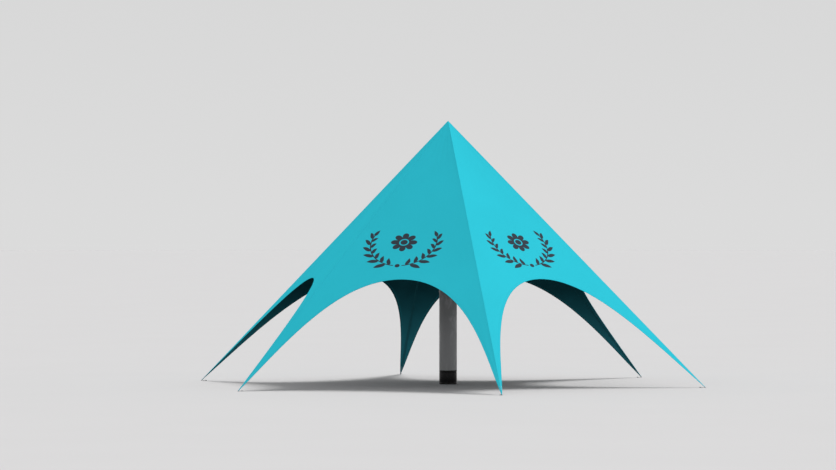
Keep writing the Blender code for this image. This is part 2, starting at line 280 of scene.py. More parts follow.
class Finish:
    """A material or a world, with one method that adds any node but a Math node."""

    def __init__(self, name, kind="materials", shader="Principled BSDF"):
        self.made = getattr(bpy.data, kind).new(name)
        self.made.use_nodes = True
        self.tree = self.made.node_tree
        self.shader = self.tree.nodes[shader]

    def fill(self, made, sockets):
        """Sets or links a node's sockets, which go by name or by number."""
        for name, value in sockets.items():
            plug(self.tree, made.inputs[name], value)

    def node(self, kind, settings=None, sockets=None, output=0):
        """A node of this kind, its settings first and then the values or links of its sockets."""
        made = self.tree.nodes.new(kind)
        for name, value in (settings or {}).items():
            setattr(made, name, value)
        self.fill(made, sockets or {})
        return Wire(self.tree, made.outputs[output])

    def place(self):
        """The point on the object, in metres."""
        return self.node("ShaderNodeTexCoord", output="Object")

    def parts(self, vector):
        """The three numbers of a vector."""
        apart = self.node("ShaderNodeSeparateXYZ", sockets={"Vector": vector})
        return [Wire(self.tree, out) for out in apart.socket.node.outputs]

    def height(self):
        """The height above the ground, in metres."""
        return self.parts(self.place())[2]

    def surface(self, name):
        """The two numbers of a piece's own UV map, in metres."""
        return self.parts(self.node("ShaderNodeUVMap", {"uv_map": name}))[:2]

    def noise(self, scale, detail, rough=0.5, stretch=None):
        """Smooth noise, mostly from 0.3 to 0.7, which three numbers may stretch."""
        vector = self.place()
        if stretch:
            vector = self.node("ShaderNodeMapping", sockets={"Vector": vector, "Scale": stretch})
        sockets = {"Vector": vector, "Scale": scale, "Detail": detail, "Roughness": rough}
        return self.node("ShaderNodeTexNoise", sockets=sockets)

    def cells(self, feature, scale, output=0):
        """Cells round scattered points: the distance from the nearest, or each cell's own colour."""
        sockets = {"Vector": self.place(), "Scale": scale}
        return self.node("ShaderNodeTexVoronoi", {"feature": feature}, sockets, output)

    def mix(self, factor, first, second):
        """A colour between two colours. A Mix node's sockets share their names, so they go by number."""
        return self.node("ShaderNodeMix", {"data_type": "RGBA"}, {0: factor, 6: first, 7: second}, 2)

    def toned(self, factor, colour, low, high):
        """A colour between two shades of one colour."""
        return self.mix(factor, shade(colour, low), shade(colour, high))

    def wear(self, colour, rough, bump=None, metallic=0.0, specular=0.5):
        """The finished material. A bump is its height, from nought to one, the metres that one stands for,
        and its strength."""
        self.fill(self.shader, {
            "Base Color": colour, "Roughness": rough, "Metallic": metallic, "Specular IOR Level": specular})
        if bump:
            relief = dict(zip(("Height", "Distance", "Strength"), bump))
            self.fill(self.shader, {"Normal": self.node("ShaderNodeBump", sockets=relief)})
        return self.made


def shade(colour, factor):
    """A colour made lighter or darker."""
    return tuple(min(1.0, factor * part) for part in colour)


def stitches(across, along, rows):
    """Rows of stitches, 1.4 mm wide: dashes every 4.5 mm along lines at these distances from an edge."""
    far = abs(across - rows[0])
    for row in rows[1:]:
        far = far.least(abs(across - row))
    return far.below(0.0007, 0.0004) * (along / 0.0045 % 1.0).below(0.72, 0.08)


def ribs(along, pitch):
    """Ribs across a strip, as the sine of the length along it."""
    return (along * (math.tau / pitch)).sine() * 0.5 + 0.5


def weave(u, v):
    """A plain weave: threads across and along, 0.8 mm wide, that pass over each other by turns."""
    turn = math.tau / 0.0016
    return (u * turn).sine() * (v * turn).sine() * 0.5 + 0.5


def blade(share):
    """The half width of a leaf along its length, which runs from nought to one."""
    return share ** 0.6 * (1.0 - share) ** 1.1


def branch(x, y, radius, step):
    """A leafy sprig: a stem on a circle from near its lowest point to a little past its side, with a row
    of leaves outside it, one inside and one leaf at its end. A leaf leans on as it leaves the stem, and
    its width is a power of its length from the stem times one of its length from the tip."""
    far = (x * x + y * y) ** 0.5
    turn = x.arctan(y * -1.0)
    taper = 1.18 - turn * 0.32
    mask = abs(far - radius).below(0.0085, 0.004) * turn.above(0.13, 0.01) * turn.below(1.90, 0.01)
    for reach, shift in ((0.165, 0.0), (-0.135, 0.5)):
        share = ((far - radius) / (taper * reach)).held()
        place = turn / step - share * 0.62 + shift
        leaf = (abs(place % 1.0 - 0.5) - blade(share) * 0.96).below(-0.03, 0.05)
        mask = mask.most(leaf * place.above(1.0, 0.02) * place.below(7.0, 0.02))
    share = ((turn - 1.88) / 0.30).held()
    return mask.most((abs(far - radius) - blade(share) * 0.095).below(-0.004, 0.004))


def rosette(x, y, size):
    """A flower of eight petals: its radius swells with the root of a cosine of four times the angle, and
    a ring is left open round its eye."""
    far = (x * x + y * y) ** 0.5 / size
    petal = abs((x.arctan(y) * 4.0 + 0.5 * math.pi).sine()) ** 0.5
    body = (far - petal * 0.52).below(0.48, 0.03)
    return body * (1.0 - far.above(0.27, 0.02) * far.below(0.37, 0.02))


def ornament(x, y, width):
    """The printed ornament: a flower between two leafy sprigs that rise round it from a bud. In its own
    units it is 1.22 wide, and it is drawn out sideways a little."""
    size = 1.2212 / width
    x = abs(x) * size
    y = y * (size / 0.86)
    mask = rosette(x, y - 0.13, 0.20)
    mask = mask.most(branch(x, y - 0.11, 0.50, 0.275))
    return mask.most((x * x + (y + 0.39) * (y + 0.39)).below(0.0014, 0.0003))


def seam_places(s, t):
    """The distance from the nearer ridge and the length up that ridge, for a point of a face."""
    side = HALF_BASE - abs(s)
    beside = (side * FACE_LENGTH - t * HALF_BASE) / RIDGE_LENGTH
    along = (side * HALF_BASE + t * FACE_LENGTH) / RIDGE_LENGTH
    return beside, along


def thread_mask(finish, s, t):
    """All the rows of stitches that show on the cloth: along the ridges, the hems and the peak's lining."""
    beside, along = seam_places(s, t)
    lining_edge = FACE_LENGTH * (1.0 - LINING_RIDGE / RIDGE_LENGTH)
    mask = stitches(beside, along, (0.0042, 0.0108))
    mask = mask.most(stitches(*finish.surface("hem"), HEM_STITCHES))
    return mask.most(stitches(t - lining_edge, s, (0.010, 0.016)))


def face_coordinates(finish):
    """s and t of a point of the canopy, and its face's number from nought, which is its strip of the
    map."""
    u, t = finish.surface("cloth")
    number = (u / FACE_PITCH).round()
    return u - number * FACE_PITCH, t, number


def painted_shade_ramp(finish):
    """Painted shade for the inside: one near the ground, where the inside is painted paler, and nought from
    the arches' crests up, where it is painted darkest.
    """
    return finish.height().below(1.2, 1.1)


def cloth_finish(cloth):
    """Coated polyester: turquoise, a plain weave, faint cloudy tone, stitched seams, a matt print and a
    little dust near the ground."""
    finish = Finish("canopy_cloth")
    s, t, number = face_coordinates(finish)
    cloud = finish.noise(0.9, 3.0)
    fine = finish.noise(55.0, 2.0)
    threads = thread_mask(finish, s, t)
    shift = number.below(FIRST_PRINTED + 1.0, 0.1) * cloth.print_shift
    printed = ornament(s + shift, t - cloth.print_height, cloth.print_width)
    printed = printed * number.above(FIRST_PRINTED, 0.1)
    colour = finish.toned(cloud * 0.7 + fine * 0.3, cloth.cloth_colour, 0.93, 1.07)
    dust = finish.height().below(0.25, 0.5) * (fine * 0.5 + 0.05)
    colour = finish.mix(dust * 0.30, colour, (0.22, 0.38, 0.40))
    colour = finish.mix(printed * 0.97, colour, finish.toned(fine, cloth.print_colour, 0.85, 1.15))
    colour = finish.mix(threads * 0.75, colour, shade(cloth.cloth_colour, 0.72))
    beside, _ = seam_places(s, t)
    relief = weave(s, t) * 0.25 + threads * 0.5 + beside.below(SEAM_WIDTH, 0.001) * 0.25
    rough = 0.68 + cloud * 0.08 - printed * 0.06
    return finish.wear(colour, rough, (relief, 0.0006, 0.5), specular=0.0)


def lining_finish(cloth):
    """The inside of the cloth: a smooth coating in a dark, painted-shade copy of the cloth's colour,
    painted darker upwards and paler towards the ground as shade, with the stitches showing through."""
    finish = Finish("canopy_coating")
    s, t, _ = face_coordinates(finish)
    cloud = finish.noise(2.4, 4.0)
    threads = thread_mask(finish, s, t)
    # Painted shade: the coating is painted darker towards the top and paler near the ground.
    colour = finish.toned(painted_shade_ramp(finish) * 0.8 + cloud * 0.2, cloth.shaded_lining_colour, 0.34, 1.62)
    colour = finish.mix(threads * 0.7, colour, shade(cloth.cloth_colour, 0.5))
    relief = weave(s, t) * 0.2 + threads * 0.6 + cloud * 0.2
    return finish.wear(colour, 0.62 + cloud * 0.10, (relief, 0.0005, 0.5), specular=0.0)


def tape_finish(cloth):
    """Ribbed tape with two stitched rows: the cloth's colour outside, and past the fold the coating's
    painted-shade colour, painted darker towards the top.
    """
    finish = Finish("hem_tape")
    across, along = finish.surface("strip")
    rib = ribs(along, 0.0017)
    cloud = finish.noise(30.0, 2.0)
    threads = stitches(across, along, HEM_STITCHES)
    outside = finish.toned(cloud, cloth.tape_colour, 0.92, 1.08)
    # Painted shade: inside the fold the tape is painted darker towards the top and paler near the ground.
    inside = finish.toned(painted_shade_ramp(finish) * 0.7 + rib * 0.3, cloth.shaded_lining_colour, 0.34, 1.62)
    colour = finish.mix(across.above(-0.0005, 0.0006), outside, inside)
    colour = finish.mix(threads * 0.7, colour, shade(cloth.cloth_colour, 0.5))
    relief = rib * 0.35 + threads * 0.65
    return finish.wear(colour, 0.70 + cloud * 0.1, (relief, 0.0005, 0.5), specular=0.0)


def webbing_finish(cloth):
    """Woven belt: a herringbone of slanting ribs, darker in its grooves, with stitched rows on either side
    of its middle, painted darker towards the top and paler towards the ground as shade."""
    finish = Finish("ridge_webbing")
    across, along = finish.surface("strip")
    zigzag = abs((across / 0.012 % 1.0) - 0.5) * 0.012
    rib = ribs(along + zigzag, 0.0026)
    cloud = finish.noise(14.0, 3.0)
    threads = stitches(abs(across), along, (0.0185, 0.0055))
    base = cloth.webbing_colour
    # Painted shade: the webbing is painted darker towards the top and paler near the ground.
    colour = finish.toned(painted_shade_ramp(finish) * 0.5 + rib * 0.3 + cloud * 0.2, base, 0.3, 1.7)
    colour = finish.mix(threads * 0.8, colour, shade(base, 2.4))
    relief = rib * 0.6 + threads * 0.4
    return finish.wear(colour, 0.74 + cloud * 0.12, (relief, 0.0007, 0.6), specular=0.0)


def alloy_finish(metal):
    """Anodised tube: lines drawn up it, faint rubs and a satin grain, and painted paler towards the foot
    and darker higher up, as painted shade under the canopy.
    """
    finish = Finish("mast_alloy")
    drawn = finish.noise(1.0, 3.0, 0.6, (260.0, 260.0, 1.2))
    grain = finish.noise(900.0, 2.0)
    rub = finish.noise(1.6, 5.0, 0.65, (3.0, 3.0, 1.4))
    worn = rub.above(0.56, 0.10)
    # Painted shade: the tube is painted darker with height and paler near the foot.
    low = finish.height().below(0.75, 1.1)
    base = metal.alloy_colour
    colour = finish.toned(low * 0.5 + drawn * 0.25 + grain * 0.25, base, 0.5, 1.5)
    colour = finish.mix(worn * 0.35, colour, shade(base, 1.35))
    rough = 0.44 + drawn * 0.12 - worn * 0.08 + grain * 0.06
    return finish.wear(colour, rough, (drawn * 0.7 + grain * 0.3, 0.0003, 0.35), metallic=0.75)


def black_finish(metal):
    """Moulded black plastic: a fine pebbled grain, scuffed pale near the ground."""
    finish = Finish("black_plastic")
    pebble = finish.cells("SMOOTH_F1", 420.0)
    cloud = finish.noise(11.0, 4.0, 0.6)
    scuff = finish.height().below(0.018, 0.035) * cloud.above(0.50, 0.12)
    colour = finish.toned(cloud, metal.black_colour, 0.8, 1.3)
    colour = finish.mix(scuff * 0.4, colour, (0.08, 0.08, 0.08))
    rough = 0.22 + cloud * 0.10 + scuff * 0.2
    return finish.wear(colour, rough, (pebble, 0.0002, 0.25), specular=0.18)


def zinc_finish(metal):
    """Hot-dipped zinc: crystals a few millimetres across, each with its own tone, dulled in patches."""
    finish = Finish("zinc_steel")
    tone = finish.parts(finish.cells("F1", 210.0, "Color"))[0]
    cloud = finish.noise(26.0, 4.0, 0.6)
    colour = finish.toned(tone * 0.6 + cloud * 0.4, metal.steel_colour, 0.72, 1.22)
    dull = cloud.above(0.55, 0.15)
    colour = finish.mix(dull * 0.5, colour, (0.40, 0.40, 0.39))
    rough = 0.36 + tone * 0.10 + dull * 0.18
    return finish.wear(colour, rough, (tone, 0.0003, 0.3), metallic=0.9 - dull * 0.25)


def dip_finish(cloth):
    """The dark dipped coat of a shoe's tongue, its tone taken from the coating's painted-shade colour:
    smooth, with slow runs down it.
    """
    finish = Finish("dipped_coat")
    runs = finish.noise(1.0, 3.0, 0.5, (60.0, 60.0, 14.0))
    colour = finish.toned(runs, cloth.shaded_lining_colour, 0.95, 1.5)
    return finish.wear(colour, 0.48 + runs * 0.14, (runs, 0.0005, 0.4), specular=0.2)


def floor_finish(stage):
    """A plain pale floor with a hardly seen mottle."""
    finish = Finish("pale_floor")
    colour = finish.toned(finish.noise(0.35, 3.0), stage.floor_colour, 0.985, 1.015)
    return finish.wear(colour, 0.9, specular=0.1)


# Surfaces


def stack(*parts):
    """Arrays of numbers, spread to one shape, as the parts of points."""
    return np.stack(np.broadcast_arrays(*parts), axis=-1)


def turned(x, y, z, azimuth):
    """Points turned about the upright axis under the peak."""
    cos, sin = math.cos(azimuth), math.sin(azimuth)
    return stack(x * cos - y * sin, x * sin + y * cos, z)


def circle(centre, radius, turn):
    """Points round a centre on the x axis."""
    return stack(centre + radius * np.cos(turn), radius * np.sin(turn))


def unit(vectors):
    """Vectors made one long."""
    return vectors / np.linalg.norm(vectors, axis=-1, keepdims=True)


def lengths(line):
    """How far each point of a line lies along it."""
    return np.concatenate([[0.0], np.cumsum(np.linalg.norm(np.diff(line, axis=0), axis=1))])


def placed(name, data):
    """An object at the origin with this mesh, light or camera."""
    made = bpy.data.objects.new(name, data)
    bpy.context.scene.collection.objects.link(made)
    return made


class Shell:
    """Grids of points gathered into one mesh."""

    def __init__(self, name, maps=("strip",)):
        self.name = name
        self.maps = maps
        self.points, self.quads, self.wears, self.spots = [], [], [], []
        self.count = 0

    def grid(self, points, spots=None, wear=0):
        """Adds one grid of rows and columns of points. spots holds, for every UV map, its own grid of
        (u, v), and wear is the number of the grid's finish."""
        rows, columns = points.shape[:2]
        place = np.arange(rows * columns).reshape(rows, columns)
        quads = stack(place[:-1, :-1], place[:-1, 1:], place[1:, 1:], place[1:, :-1]).reshape(-1, 4)
        spots = spots or [np.zeros((rows, columns, 2))] * len(self.maps)
        self.spots.append([spot.reshape(-1, 2)[quads.ravel()] for spot in spots])
        self.points.append(points.reshape(-1, 3))
        self.quads.append(quads + self.count)
        self.wears.append(np.full(len(quads), wear))
        self.count += rows * columns

    def slab(self, top, low, spots=None, wears=(0, 0), rims=tuple(RIMS), rows=None):
        """A sheet between two grids: the upper one, the lower one turned over, and a rim along the named
        sides. The left and right rims end after this number of rows of points."""
        spots = spots or [np.zeros((*top.shape[:2], 2))] * len(self.maps)
        self.grid(top, spots, wears[0])
        self.grid(low[:, ::-1], [spot[:, ::-1] for spot in spots], wears[1])
        for axis, end in (RIMS[rim] for rim in rims):
            top_edge, low_edge, *spot_edges = [m[:rows].take(end, axis) for m in (top, low, *spots)]
            edges = (top_edge, low_edge) if end else (low_edge, top_edge)
            self.grid(np.stack(edges, axis), [np.stack([m, m], axis) for m in spot_edges], wears[0])

    def mesh(self):
        """The grids as a mesh of quads with its UV maps."""
        quads = np.concatenate(self.quads)
        mesh = bpy.data.meshes.new(self.name)
        mesh.vertices.add(self.count)
        mesh.vertices.foreach_set("co", np.concatenate(self.points).astype(np.float32).ravel())
        mesh.loops.add(quads.size)
        mesh.loops.foreach_set("vertex_index", quads.astype(np.int32).ravel())
        mesh.polygons.add(len(quads))
        mesh.polygons.foreach_set("loop_start", np.arange(0, quads.size, 4, dtype=np.int32))
        mesh.polygons.foreach_set("material_index", np.concatenate(self.wears).astype(np.int32))
        mesh.update(calc_edges=True)
        for i, name in enumerate(self.maps):
            spots = np.concatenate([spot[i] for spot in self.spots]).astype(np.float32)
            mesh.uv_layers.new(name=name).uv.foreach_set("vector", spots.ravel())
        return mesh

    def build(self, finishes, slot, *nodes, sharp=35.0):
        """The closed piece: coincident points merged, faces outwards, soft but for edges sharper than an
        angle in degrees. It rides on the tent's one body and stands for these CAD nodes."""
        mesh = self.mesh()
        work = bmesh.new()
        work.from_mesh(mesh)
        bmesh.ops.remove_doubles(work, verts=work.verts, dist=1e-5)
        if work.calc_volume(signed=True) < 0.0:
            bmesh.ops.reverse_faces(work, faces=work.faces)
        work.to_mesh(mesh)
        open_edges = sum(not edge.is_manifold for edge in work.edges)
        work.free()
        if open_edges:
            raise RuntimeError(f"{self.name} has {open_edges} open edges")
        mesh.shade_smooth()
        mesh.set_sharp_from_angle(angle=math.radians(sharp))
        for finish in finishes:
            mesh.materials.append(finish)
        piece = placed(self.name, mesh)
        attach(piece, "root")
        if nodes:
            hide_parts(*nodes)
        return piece


def slack(s, t, azimuth, cloth):
    """How far the cloth hangs inside its flat face: a hollow, deepest on the middle line and nothing at
    the ridges, folds that fan out from the leg's foot and from the peak, as one minus the cosine of
    their angle to the ridge, and a slow wave. Nothing where no cloth is given."""
    if cloth is None:
        return 0.0
    reach = np.maximum(HALF_BASE * (1.0 - t / FACE_LENGTH), 1e-4)
    hollow = np.clip(1.0 - (s / reach) ** 2, 0.0, 1.0)
    down = np.clip(1.0 - t / FACE_LENGTH, 0.0, 1.0)
    sag = cloth.sag * hollow * np.sin(np.pi * np.clip(down / 0.66, 0.0, 1.0))
    out = np.maximum(HALF_BASE - np.abs(s), 1e-9)
    foot_far = np.hypot(out, t)
    foot_turn = np.degrees(np.clip(RIDGE_LEAN - np.arctan2(t, out), 0.0, np.pi))
    lean = 0.75 + 0.25 * np.sin(3.0 * azimuth + 2.0 * np.tanh(4.0 * s))
    near = np.clip(foot_far / 0.5, 0.0, 1.0) ** 2 * np.exp(-foot_far / 2.2)
    foot = near * np.exp(-((foot_turn / 15.0) ** 2)) * (1.0 - np.cos(math.tau * foot_turn / 4.4))
    peak_far = np.hypot(s, FACE_LENGTH - t)
    peak_turn = RIDGE_SPREAD - np.arctan2(np.abs(s), np.maximum(FACE_LENGTH - t, 1e-9))
    near = np.clip(peak_far / 0.4, 0.0, 1.0) ** 2 * np.exp(-peak_far / 1.3)
    peak = near * (1.0 - np.cos(math.tau * 3.0 * np.clip(peak_turn / RIDGE_SPREAD, 0.0, 1.0)))
    wave = np.sin(math.tau * s / 1.7 + 2.1 * azimuth) * np.sin(math.tau * t / 2.1 + 1.3 * azimuth)
    wave = wave * hollow * np.clip(down / 0.15, 0.0, 1.0)
    return sag + cloth.fold * lean * (foot + peak) + cloth.wave * wave


def cloth_point(s, t, depth, azimuth, cloth):
    """A point of the face that looks towards azimuth. The slack moves it square to the face; the depth
    of a layer moves it straight down by depth over the slope's cosine, so layers meet at the ridges."""
    inside = slack(s, t, azimuth, cloth)
    out = APOTHEM - t * SLOPE_COS - inside * SLOPE_SIN
    up = t * SLOPE_SIN - inside * SLOPE_COS - depth / SLOPE_COS
    return turned(out, s, up, azimuth)


def leg_point(a, c, depth, azimuth, cloth):
    """A point under a ridge that runs out towards azimuth, c to one side or the other of its fold. Its s
    and t are found from a and c by turning them through the ridge's angle in the face."""
    e = np.abs(c)
    s = HALF_BASE - (a * HALF_BASE + e * FACE_LENGTH) / RIDGE_LENGTH
    t = (a * FACE_LENGTH - e * HALF_BASE) / RIDGE_LENGTH
    before = cloth_point(s, t, depth, azimuth - HALF_SECTOR, cloth)
    after = cloth_point(-s, t, depth, azimuth + HALF_SECTOR, cloth)
    return np.where((c < 0.0)[..., None], before, after)


def arch_half(steps):
    """Half an arch from its foot to its crest as rows of (s, t), evenly spaced, and its length: one cubic
    curve, level at the crest and steep at the foot."""
    foot = np.array([HALF_BASE * (1.0 - LEG_END / FACE_LENGTH) - LEG_END_WIDTH, LEG_END])
    crest = np.array([0.0, CREST])
    steep = np.array([-1.0, FOOT_STEEPNESS]) / math.hypot(1.0, FOOT_STEEPNESS)
    level = crest + np.array([CREST_HANDLE, 0.0])
    q = np.linspace(0.0, 1.0, 801)[:, None]
    p = 1.0 - q
    line = p**3 * foot + 3 * p * p * q * (foot + FOOT_HANDLE * steep) + 3 * p * q * q * level + q**3 * crest
    far = lengths(line)
    wanted = np.linspace(0.0, far[-1], steps + 1)
    return stack(np.interp(wanted, far, line[:, 0]), np.interp(wanted, far, line[:, 1])), far[-1]


def hem_share(s, t, width):
    """The room between a point of the arch and the ridge, and the share of its whole width that a hem
    keeps there, where the leg leaves less room for it and the belt under the ridge."""
    room = (HALF_BASE * FACE_LENGTH - FACE_LENGTH * np.abs(s) - HALF_BASE * t) / RIDGE_LENGTH
    return room, np.clip(room - BELT_HALF - BELT_GAP, 0.35 * room, width) / HEM_SECTION[-1, 0]


def from_arch(s, t, width):
    """The distance of every point from the arch's edge as a hem of this width stretches with its room,
    and how far along the arch that is from its foot."""
    line, length = arch_half(EDGE_STEPS)
    gap = np.hypot(s[..., None] - line[:, 0], t[..., None] - line[:, 1])
    nearest = np.argmin(gap, axis=-1)
    _, share = hem_share(line[:, 0], line[:, 1], width)
    return stack(np.min(gap, axis=-1) / share[nearest], nearest * (length / EDGE_STEPS))


def half_face(arch_rows, upper_rows, columns):
    """s and t of half a face, and how far its points lift over the seam. Rows run from the leg's end to
    the peak, as far up the ridge as up the arch and the middle line together; columns run from the ridge,
    close together over its seam."""
    arch, arch_length = arch_half(arch_rows)
    middle = FACE_LENGTH - CREST
    upper = np.linspace(0.0, 1.0, upper_rows + 1)[1:]
    inner = np.concatenate([arch, stack(0.0, CREST + middle * upper)])
    whole = arch_length + middle
    share = np.concatenate(
        [np.linspace(0.0, arch_length / whole, arch_rows + 1), (arch_length + middle * upper) / whole])
    ridge_t = LEG_END + (FACE_LENGTH - LEG_END) * share
    ridge = stack(HALF_BASE * (1.0 - ridge_t / FACE_LENGTH), ridge_t)
    width = np.linalg.norm(inner - ridge, axis=1)[:, None]
    # The seam narrows with a face narrower than 0.25 m. The peak has no width, so its row of points takes
    # its shares from the row below.
    scale = np.minimum(1.0, width / 0.25)
    seam = np.array([0.0, 0.5, 0.96, 1.12]) * SEAM_WIDTH * scale / np.maximum(width, 1e-9)
    seam[-1] = seam[-2]
    rest = np.linspace(0.0, 1.0, columns - 3)[1:]
    part = np.concatenate([seam, seam[:, -1:] + (1.0 - seam[:, -1:]) * rest], axis=1)[..., None]
    grid = ridge[:, None] * (1.0 - part) + inner[:, None] * part
    lift = np.concatenate([[1.0, 1.0, 1.0, 0.0], 0.0 * rest]) * SEAM_LIFT * scale
    return grid[..., 0], grid[..., 1], lift


def make_canopy(cloth):
    """One continuous sheet: twelve half faces that share their ridges and middle lines, 1.2 mm thick, with
    a low felled seam along every ridge."""
    shell = Shell("canopy", ("cloth", "hem"))
    s, t, lift = half_face(ARCH_ROWS, upper_rows=78, columns=25)
    hem = from_arch(s, t, cloth.hem_width)
    for k in range(LEG_COUNT):
        azimuth = (2 * k + 1) * HALF_SECTOR
        for side, way, arch in ((1.0, -1, "left"), (-1.0, 1, "right")):
            grids = [cloth_point(side * s, t, depth, azimuth, cloth) for depth in (-lift, SHEET)]
            grids += [stack(FACE_PITCH * k + side * s, t), hem]
            top, low, *spots = [grid[:, ::way] for grid in grids]
            shell.slab(top, low, spots, (0, 1), ("first", arch), ARCH_ROWS + 1)
    panels = [f"canopy_panel_{k + 1}" for k in range(LEG_COUNT)]
    canopy = shell.build([cloth_finish(cloth), lining_finish(cloth)], "canopy_cloth", *panels, sharp=12.0)


def make_hem(k, cloth, finish):
    """The tape that binds an arch's edge: a folded strip carried along the arch, 9 mm wide outside and up
    to 50 mm inside, narrower where the leg leaves less room."""
    half, length = arch_half(steps=90)
    line = np.concatenate([half, (half * (-1.0, 1.0))[-2::-1]])
    along = np.linspace(0.0, 2.0 * length, len(line))[:, None]
    way = unit(np.gradient(line, axis=0))
    room, inside = hem_share(line[:, 0], line[:, 1], cloth.hem_width)
    offset, depth = HEM_SECTION.T
    outside = np.clip(room * 0.5, 0.0020, offset[0]) / offset[0]
    past_fold = np.arange(len(offset)) > HEM_FOLD
    across = offset * np.where(past_fold, inside[:, None], outside[:, None])
    apart = HEM_THICK[:, None] * unit(np.gradient(HEM_SECTION, axis=0))
    layers = []
    for side in (1.0, -1.0):
        reach = across + side * apart[:, 1]
        s = line[:, :1] + reach * way[:, 1:]
        t = line[:, 1:] - reach * way[:, :1]
        layers.append(cloth_point(s, t, depth - side * apart[:, 0], (2 * k + 1) * HALF_SECTOR, cloth))
    path = lengths(HEM_SECTION)
    shell = Shell(f"hem_tape_{k + 1}")
    shell.slab(*layers, [stack(path - path[HEM_FOLD], along)])
    hem = shell.build([finish], "hem_tape", f"arch_hem_{k + 1}")


def make_belt(k, cloth, finish):
    """The webbing under a ridge: a flat strip folded along the ridge, from the shoe's tongue to the lining
    of the peak, a little thinner at its edges."""
    start, end = TONGUE_LENGTH + BELT_GAP, RIDGE_LENGTH - LINING_RIDGE - BELT_GAP
    a = np.linspace(start, end, 136)[:, None]
    c = BELT_HALF * np.array([-1.0, -0.96, -0.6, -0.2, 0.0, 0.2, 0.6, 0.96, 1.0])
    trim = 0.0006 * (np.abs(c) == BELT_HALF)
    depths = (BELT_TOP + trim, BELT_LOW - trim)
    layers = [leg_point(a, c, depth, 2 * k * HALF_SECTOR, cloth) for depth in depths]
    shell = Shell(f"ridge_webbing_{k + 1}")
    shell.slab(*layers, [stack(c, a)])
    belt = shell.build([finish], "webbing", f"ridge_belt_{k + 1}", sharp=28.0)


def make_lining(cloth, finish):
    """The cap that lines the peak: on each face a triangle from the peak to a straight lower edge, which
    is thinner. Laid out flat it is a fan as wide as two ridges, in a box 1.58 ridges high."""
    shell = Shell("peak_lining")
    rows = np.linspace(1.0, 0.0, 15)[:, None]
    t = FACE_LENGTH * (1.0 - LINING_RIDGE / RIDGE_LENGTH * rows)
    s = HALF_BASE * (1.0 - t / FACE_LENGTH) * np.linspace(-1.0, 1.0, 17)
    trim = 0.0012 * (rows == 1.0)
    depths = (LINING_TOP + trim, LINING_LOW - trim)
    for k in range(LEG_COUNT):
        layers = [cloth_point(s, t, depth, (2 * k + 1) * HALF_SECTOR, cloth) for depth in depths]
        shell.slab(*layers, [stack(t - t[0], s)], rims=("first",))
    lining = shell.build([finish], "webbing", "peak_patch", sharp=28.0)


def rounded(corners, radius, steps=4):
    """A closed outline with its corners rounded: each is swapped for a quadratic curve between two points
    that lie the radius away from it along its sides, or less where a side is short."""
    corners = np.asarray(corners, dtype=float)
    radii = np.broadcast_to(radius, len(corners))
    line = []
    for i, corner in enumerate(corners):
        if radii[i] <= 0.0:
            line.append(corner[None])
            continue
        ways = [corners[i - 1] - corner, corners[(i + 1) % len(corners)] - corner]
        ends = [corner + way * min(radii[i] / np.linalg.norm(way), 0.48) for way in ways]
        q = np.linspace(0.0, 1.0, steps + 1)[:, None]
        line.append((1 - q) ** 2 * ends[0] + 2 * q * (1 - q) * corner + q**2 * ends[1])
    return np.concatenate(line)


def groove(radius, start, end, depth, slope):
    """The corners of a groove round an upright wall, whose sides slant by slope."""
    return [(radius, start), (radius - depth, start + slope), (radius - depth, end - slope), (radius, end)]


def spin(shell, profile, steps=144, centre=0.0, azimuth=0.0):
    """A round piece: a profile of (radius, height) carried round an upright axis. One that starts away
    from the axis is closed."""
    ring = np.concatenate([profile, profile[:1]]) if profile[0, 0] else profile
    turn = np.linspace(0.0, math.tau, steps + 1)[:, None]
    x = centre + ring[:, 0] * np.cos(turn)
    y = ring[:, 0] * np.sin(turn)
    shell.grid(turned(x, y, ring[:, 1], azimuth), [stack(turn * MAST_RADIUS, lengths(ring))])


def stud(shell, centre, axis, radius, height, root):
    """A domed head about any axis: a short upright side, then an ellipse to the top, with a root that
    reaches back into what it sits on."""
    first = unit(np.cross(axis, (0.0, 0.0, 1.0) if abs(axis[2]) < 0.9 else (1.0, 0.0, 0.0)))
    second = np.cross(axis, first)
    rise = np.linspace(0.0, 0.5 * np.pi, 6)
    out = np.concatenate([[0.0, radius], radius * np.cos(rise)])
    up = np.concatenate([[-root, -root], 0.25 * height + 0.75 * height * np.sin(rise)])
    turn = np.linspace(0.0, math.tau, 21)[:, None]
    shell.grid(
        centre + up[:, None] * axis + (out * np.cos(turn))[..., None] * first
        + (out * np.sin(turn))[..., None] * second)


def tongue_half(a):
    """Half the width of a shoe's tongue, a up the ridge: widest at its top, drawn in to the waist and on
    to the tip."""
    return np.interp(a, [0.0, TONGUE_WAIST, TONGUE_LENGTH], [TONGUE_TIP_WIDTH, NOSE_RADIUS, BELT_HALF])


def add_rivets(shell, azimuth, depth, way, cloth, **sizes):
    """A shoe's rivets, three down each face of the leg: domed heads on the layer at this depth, square to
    the face, that look outwards where way is one and inwards where it is minus one."""
    for a in (0.140, 0.180, 0.220):
        for side in (-1.0, 1.0):
            c = side * 0.6 * tongue_half(a)
            spot = leg_point(a, np.array(c), depth, azimuth, cloth)
            normal = turned(SLOPE_SIN, 0.0, SLOPE_COS, azimuth + side * HALF_SECTOR)
            stud(shell, spot, way * normal, **sizes)


